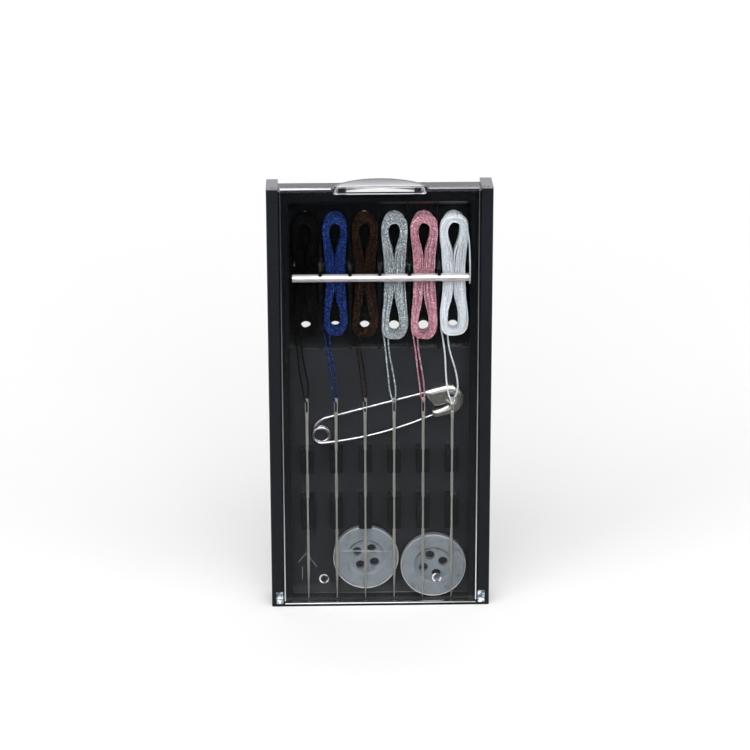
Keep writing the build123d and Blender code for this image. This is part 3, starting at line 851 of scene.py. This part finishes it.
# steel: bar, needles, safety pin
steels = {
    "bar": {
        "name": "turnedSteel", "colours": ((0.80, 0.75, 0.76), (0.95, 0.91, 0.92)),
        "roughness": (0.14, 0.26), "grain": (0.15, 1, 1), "scale": 2500, "metallic": 0.62,
    },
    "needle": {
        "name": "platedNeedle", "colours": ((0.78, 0.75, 0.68), (0.88, 0.85, 0.78)),
        "roughness": (0.30, 0.36), "grain": (1, 1, 0.12), "scale": 3200, "metallic": 0.95, "relief": 0.05,
    },
    "pin": {
        "name": "brightWire", "colours": ((0.46, 0.45, 0.47), (0.62, 0.61, 0.64)),
        "roughness": (0.10, 0.18), "grain": (1, 1, 1), "scale": 1500,
    },
    "cap": {
        "name": "pressedSheet", "colours": ((0.60, 0.60, 0.58), (0.72, 0.71, 0.68)),
        "roughness": (0.13, 0.20), "grain": (1, 1, 0.2), "scale": 2600, "metallic": 0.95, "relief": 0.15,
    },
}


def steelMaterial(name, colours, roughness, grain, scale, metallic=1.0, relief=0.3, depth=0.000008):
    material, tree, shader = newMaterial(name)
    drawn = noiseOn(tree, scaledCoordinates(tree, grain), scale, 4, 0.6)
    setSockets(shader, {
        "Base Color": blendColours(tree, drawn, colours),
        "Roughness": rangeOf(tree, drawn, *roughness),
        "Normal": bumpFrom(tree, drawn, depth, relief),
        "Metallic": metallic,
    })
    return material


giveMaterial(frame["nodes"]["thread_bar"], steelMaterial(**steels["bar"]))
needleSteel = steelMaterial(**steels["needle"])
for number in range(1, 7):
    giveMaterial(frame["nodes"][f"needle_{number}"], needleSteel)
pinSteel = steelMaterial(**steels["pin"])
giveMaterial(frame["nodes"]["safety_pin_frame"], pinSteel)
giveMaterial(frame["nodes"]["safety_pin_arm"], pinSteel)

# The pin's cap: one pressed sheet with an upper and a lower flap, in mm in the cap's own frame:
# u along the pin, v across it from the fixed arm
pinCap = {
    "slant": 15.0,
    "discRadius": 3.0,
    "discAt": (4.0, -2.425),
    "upperAt": (0.3, 0.0),
    "upperRadius": 0.575,
    "lowerAt": (1.1, -4.52),
    "lowerRadius": 0.9,
    "slot": [(3.35, -3.25, 0.16), (1.9, -3.42, 0.26), (-1.2, -3.05, 0.75)],   # u, v, half width
    "eyeAt": (4.55, -2.15),
    "eyeRadius": 0.55,
    "gridFrom": (-0.6, -5.8),
    "gridSize": (8.4, 6.8),
    "step": 0.11,
    "keepOutside": 0.9,          # steps outside the edge from where a grid point is still drawn onto it
    "pullInside": 0.5,           # and steps inside it
    "probe": 0.01,
    "leastSlope": 0.2,
    "weld": 0.03,                # points nearer than this become one
    "edgeRound": 0.34,
    "crown": 0.34,
    "crownReach": 1.5,
    "wallBack": 0.85,
    "mouth": 1.4,                # the side wall is left open this far from the cap's left end
    "sheet": 0.12,
}


def taperedBar(point, first, firstRadius, second, secondRadius):
    # distance from a point to the outline round two circles
    axis = second - first
    length = axis.length
    along = (point - first).dot(axis) / length
    aside = math.sqrt(max((point - first).length_squared - along * along, 0))
    slope = (firstRadius - secondRadius) / length
    rise = math.sqrt(1 - slope * slope)
    reach = rise * along - slope * aside
    if reach < 0:
        return (point - first).length - firstRadius
    if reach > rise * length:
        return (point - second).length - secondRadius
    return aside * rise + along * slope - firstRadius


def capEdge(cap, u, v):
    # below zero inside the sheet, and how far from its edge
    point = Vector((u, v))
    disc = Vector(cap["discAt"])
    upper = taperedBar(point, disc, cap["discRadius"], Vector(cap["upperAt"]), cap["upperRadius"])
    lower = taperedBar(point, disc, cap["discRadius"], Vector(cap["lowerAt"]), cap["lowerRadius"])
    edge = min(upper, lower)
    for (u0, v0, r0), (u1, v1, r1) in zip(cap["slot"], cap["slot"][1:]):
        edge = max(edge, -taperedBar(point, Vector((u0, v0)), r0, Vector((u1, v1)), r1))
    return max(edge, cap["eyeRadius"] - (point - Vector(cap["eyeAt"])).length)


def capPoint(cap, u, v):
    # where a grid point lies on the sheet, with its distance from the edge; none outside the sheet
    edge = capEdge(cap, u, v)
    if edge > cap["step"] * cap["keepOutside"]:
        return None
    if edge < -cap["step"] * cap["pullInside"]:
        return u, v, -edge
    # near the edge: onto it
    probe = cap["probe"]
    slopeU = (capEdge(cap, u + probe, v) - edge) / probe
    slopeV = (capEdge(cap, u, v + probe) - edge) / probe
    scale = max(slopeU * slopeU + slopeV * slopeV, cap["leastSlope"])
    return u - edge * slopeU / scale, v - edge * slopeV / scale, 0


def capSheet(cap, low, high):
    # the front of the sheet, rounded over at its edge and a little domed
    slant = math.radians(cap["slant"])
    middle = Vector((high[0] * 1000 - cap["discRadius"], high[2] * 1000 - cap["discRadius"]))
    front = (backY - low[1]) * 1000 - cap["edgeRound"]
    step = cap["step"]
    columns, rows = int(cap["gridSize"][0] / step), int(cap["gridSize"][1] / step)
    bm = bmesh.new()
    verts = {}
    for column in range(columns):
        for row in range(rows):
            found = capPoint(cap, cap["gridFrom"][0] + column * step, cap["gridFrom"][1] + row * step)
            verts[column, row] = None
            if found is None:
                continue
            u, v, inside = found
            rim = 1 - min(inside / cap["edgeRound"], 1)
            swell = 1 - min(inside / cap["crownReach"], 1)
            depth = front + cap["edgeRound"] * math.sqrt(1 - rim * rim) + cap["crown"] * (1 - swell * swell)
            du, dv = u - cap["discAt"][0], v - cap["discAt"][1]
            across = middle.x + du * math.cos(slant) - dv * math.sin(slant)
            up = middle.y + du * math.sin(slant) + dv * math.cos(slant)
            verts[column, row] = bm.verts.new(placeMm(across, up, depth))
    for column in range(columns - 1):
        for row in range(rows - 1):
            corners = ((column, row), (column + 1, row), (column + 1, row + 1), (column, row + 1))
            kept = [verts[corner] for corner in corners if verts[corner]]
            if len(kept) >= 3:
                bm.faces.new(kept)
    bmesh.ops.remove_doubles(bm, verts=bm.verts, dist=cap["weld"] / 1000)
    bmesh.ops.delete(bm, geom=[vert for vert in bm.verts if not vert.link_faces], context="VERTS")
    bmesh.ops.recalc_face_normals(bm, faces=bm.faces)
    return bm


def makeCap(cap):
    low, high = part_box("safety_pin_cap")
    bm = capSheet(cap, low, high)
    # the rolled side wall, left open at the mouth where the arms go in
    mouth = low[0] + cap["mouth"] / 1000
    rims = [edge for edge in bm.edges if edge.is_boundary and min(vert.co.x for vert in edge.verts) > mouth]
    walls = bmesh.ops.extrude_edge_only(bm, edges=rims)["geom"]
    rolled = [part for part in walls if isinstance(part, bmesh.types.BMVert)]
    bmesh.ops.translate(bm, vec=(0, cap["wallBack"] / 1000, 0), verts=rolled)
    bmesh.ops.recalc_face_normals(bm, faces=bm.faces)
    piece = addObject("pinCap", meshFrom("pinCap", bm))
    for polygon in piece.data.polygons:
        polygon.use_smooth = True
    sheet = piece.modifiers.new("sheet", "SOLIDIFY")
    sheet.thickness = cap["sheet"] / 1000
    sheet.offset = -1
    finishPiece(piece, "tray", "pin_steel", steelMaterial(**steels["cap"]), "safety_pin_cap")


makeCap(pinCap)
print("steel finished")


# buttons
# The resin, and the front rim of each button drawn as a painted reflection: the button's own size in mm and
# how it leans in degrees
button = {
    "colours": ((0.155, 0.175, 0.198), (0.215, 0.240, 0.268)),
    "cloud": (420, 4, 0.6),
    "roughness": (0.22, 0.36),
    "relief": (0.00001, 0.3),    # depth, in metres, and strength
    "rimRadius": 6.22,
    "thick": 1.9,
    "lean": 2.0,
    "line": 0.065,
    "lineSet": 1.2,          # how many of its radii the line lies under the front
    "rimFootGlare": 0.85,        # how pale the rim's painted reflection is at the foot and at the top
    "rimTopGlare": 0.50,
    "fadeUp": 0.004,         # this far above the foot, in metres, it has this share of the foot's grey
    "fadeShare": 0.7,
}


def buttonResin():
    material, tree, shader = newMaterial("pearlResin")
    cloud = noiseOn(tree, scaledCoordinates(tree), *button["cloud"])
    setSockets(shader, {
        "Base Color": blendColours(tree, cloud, button["colours"]),
        "Roughness": rangeOf(tree, cloud, *button["roughness"]),
        "Normal": bumpFrom(tree, cloud, *button["relief"]),
        "Coat Weight": 0.6,
        "Coat Roughness": 0.08,
        "Subsurface Weight": 0.2,
        "Subsurface Scale": 0.001,
    })
    return material


def makeButtonRim(name, rim):
    low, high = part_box(name)
    middleX, middleUp = (low[0] + high[0]) * 500, (low[2] + high[2]) * 500
    lean = math.radians(rim["lean"])
    backDepth = (backY - high[1]) * 1000 + math.sin(lean) * (high[0] - low[0]) * 500
    front = rim["thick"] - rim["line"] * rim["lineSet"]
    middleUp -= math.sin(lean) * rim["thick"] / 2
    points = []
    for turn in circleTurns(72):
        aside, upwards = rim["rimRadius"] * math.cos(turn), rim["rimRadius"] * math.sin(turn)
        points.append((
            middleX + aside,
            middleUp + upwards * math.cos(lean) + front * math.sin(lean),
            backDepth - upwards * math.sin(lean) + front * math.cos(lean),
        ))
    foot, top = low[2], high[2]
    faded = (foot + rim["fadeUp"], rim["rimFootGlare"] * rim["fadeShare"])
    shades = [(foot, rim["rimFootGlare"]), faded, (top, rim["rimTopGlare"])]
    paintedRimReflection = markAndHighlightLine(f"{name}RimReflection", shades)
    fineLine(f"{name}Rim", points, rim["line"], paintedRimReflection, "tray", "button_resin", closed=True)


resin = buttonResin()
for name in ("button_left", "button_right"):
    giveMaterial(frame["nodes"][name], resin)
for name in ("button_left", "button_right"):
    makeButtonRim(name, button)
print("buttons finished")


# case floor, in mm: the foot wall's edge and the edge of the ledge as painted highlights, and a round ejector
# mark.
# Shades are (metres along the line, grey)
floorLines = {
    "seamReach": 16.2,
    "seamUp": 0.83,
    "seamDepth": 2.36,
    "seamShades": [(-0.016, 0.04), (-0.008, 0.12), (0.004, 0.34), (0.016, 0.20)],
    "ledgeReach": 16.6,
    "ledgeUp": 51.06,
    "ledgeDepth": 2.34,
    "ledgeShades": [(-0.016, 0.020), (0.0, 0.055), (0.016, 0.035)],
    "edgeRadius": 0.04,
    "markAt": (-0.41, 22.87),
    "markDepth": 2.31,
    "markRadius": 2.25,
    "markLine": 0.05,
    "markShades": [(0.02, 0.010), (0.026, 0.022)],
}


def makeFloorLines(lines):
    # the seam and ledge lines are painted highlights along the edges
    for kind, name in (("seam", "floorSeamHighlight"), ("ledge", "floorLedgeHighlight")):
        reach = lines[f"{kind}Reach"]
        line = [(x, lines[f"{kind}Up"], lines[f"{kind}Depth"]) for x in (-reach, reach)]
        shaded = markAndHighlightLine(f"{kind}Edge", lines[f"{kind}Shades"], "X")
        fineLine(name, line, lines["edgeRadius"], shaded, "tray", "case_plastic")
    across, up = lines["markAt"]
    radius = lines["markRadius"]
    ring = []
    for turn in circleTurns(48):
        ring.append((across + radius * math.cos(turn), up + radius * math.sin(turn), lines["markDepth"]))
    shaded = markAndHighlightLine("markEdge", lines["markShades"])
    fineLine("floorMark", ring, lines["markLine"], shaded, "tray", "case_plastic", closed=True)


makeFloorLines(floorLines)
print("case floor finished")


# floor, world and lamps
studio = {
    "floorColour": (0.80, 0.80, 0.80),
    "floorSize": 1.8,
    "floorMiddle": 0.25,
    "floorLift": (0.14, 0.78),
    "liftReach": (0.05, 0.9),       # how near and how far
    "fill": 0.35,
    # what shiny and clear things see of the floor: metres along Y, brightness
    "floorSeen": [
        (-0.30, 0.0), (-0.206, 0.0), (-0.151, 0.05), (-0.07, 0.09), (-0.004, 0.12),
        (0.002, 0.85), (0.30, 0.9),
    ],
    "skyBehind": (0.0, 1.0),
    "skyBehindSpan": (-0.2, 0.25),
    "skyAhead": (0.55, 0.92),       # and at the horizon and higher up
    "skyAheadSpan": (-0.05, 0.4),
    "lamps": [
        # name, place, aimed at, width, height, power
        ("overheadSoftbox", (0.0, -0.62, 0.72), (0, 0, 0.045), 1.0, 0.6, 4.8),
        ("frontSoftbox", (0.0, -0.88, 0.42), (0, 0, 0.045), 0.7, 0.35, 3.1),
        ("leftSoftbox", (-0.62, -0.55, 0.42), (0, 0, 0.045), 0.45, 0.6, 2.4),
        ("rightSoftbox", (0.70, -0.50, 0.38), (0, 0, 0.045), 0.45, 0.6, 1.5),
        ("rearSoftbox", (0.05, 0.42, 0.95), (0, 0, 0.07), 0.9, 0.35, 1.6),
    ],
}


def rayKinds(tree):
    # first: seen straight or through clear plastic
    # second: seen in a mirroring surface, inside the plastic too
    path = addNode(tree, "LightPath", {}).outputs
    through = path["Is Transmission Ray"]
    back = combine(tree, "MULTIPLY", through, combine(tree, "MINIMUM", path["Glossy Depth"], 1))
    mirrored = combine(tree, "MAXIMUM", path["Is Glossy Ray"], back)
    straight = combine(tree, "MAXIMUM", path["Is Camera Ray"], combine(tree, "SUBTRACT", through, back))
    return straight, mirrored


def floorMaterial():
    material, tree, shader = newMaterial("paleFloor")
    straight, mirroring = rayKinds(tree)
    vector = scaledCoordinates(tree)
    away = addNode(tree, "VectorMath", {0: vector})
    away.operation = "LENGTH"
    lift = rangeOf(tree, away.outputs["Value"], *studio["floorLift"], *studio["liftReach"])
    setSockets(shader, {
        "Base Color": (*studio["floorColour"], 1),
        "Roughness": 0.9,
        "Specular IOR Level": 0.0,
        "Emission Color": (1, 1, 1, 1),
        "Emission Strength": combine(tree, "MULTIPLY", lift, straight),
    })
    stops = studio["floorSeen"]
    first, last = stops[0][0], stops[-1][0]
    along = rangeOf(tree, splitAxes(tree, vector)["Y"], first=first, last=last)
    levels = [((at - first) / (last - first), (level,) * 3) for at, level in stops]
    mirrored = addNode(tree, "Emission", {"Color": rampOf(tree, along, levels)})
    mixed = mixShaders(tree, mirroring, shader.outputs["BSDF"], mirrored.outputs["Emission"])
    setSockets(tree.nodes["Material Output"], {"Surface": mixed})
    return material


def makeFloor():
    bm = bmesh.new()
    bmesh.ops.create_grid(bm, x_segments=8, y_segments=8, size=studio["floorSize"] / 2)
    bmesh.ops.translate(bm, vec=(0, studio["floorMiddle"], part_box("tray")[0][2]), verts=bm.verts)
    floor = addObject("studioFloor", meshFrom("studioFloor", bm))
    giveMaterial(floor, floorMaterial())


def makeWorld():
    world = bpy.data.worlds.new("studioWorld")
    bpy.context.scene.world = world
    world.use_nodes = True
    tree = world.node_tree
    tree.nodes.clear()
    straight, mirroring = rayKinds(tree)
    axes = splitAxes(tree, addNode(tree, "TexCoord", {}).outputs["Generated"])
    behind = rangeOf(tree, axes["Y"], *studio["skyBehind"], *studio["skyBehindSpan"], smooth=True)
    ahead = rangeOf(tree, axes["Z"], *studio["skyAhead"], *studio["skyAheadSpan"], smooth=True)
    skies = []
    for strength in (combine(tree, "MAXIMUM", behind, ahead), studio["fill"], 1.0):
        sky = addNode(tree, "Background", {"Color": (1, 1, 1, 1), "Strength": strength})
        skies.append(sky.outputs["Background"])
    mirrored, fill, white = skies
    lit = mixShaders(tree, mirroring, fill, mirrored)
    addNode(tree, "OutputWorld", {"Surface": mixShaders(tree, straight, lit, white)})


def makeLamp(name, at, aim, width, height, power):
    data = bpy.data.lights.new(name, "AREA")
    data.shape = "RECTANGLE"
    data.size, data.size_y = width, height
    data.energy = power
    lamp = addObject(name, data)
    lamp.location = at
    lamp.rotation_euler = (Vector(aim) - Vector(at)).to_track_quat("-Z", "Y").to_euler()


makeFloor()
makeWorld()
for lamp in studio["lamps"]:
    makeLamp(*lamp)
bpy.context.scene.view_settings.view_transform = "Standard"
print("studio lit")
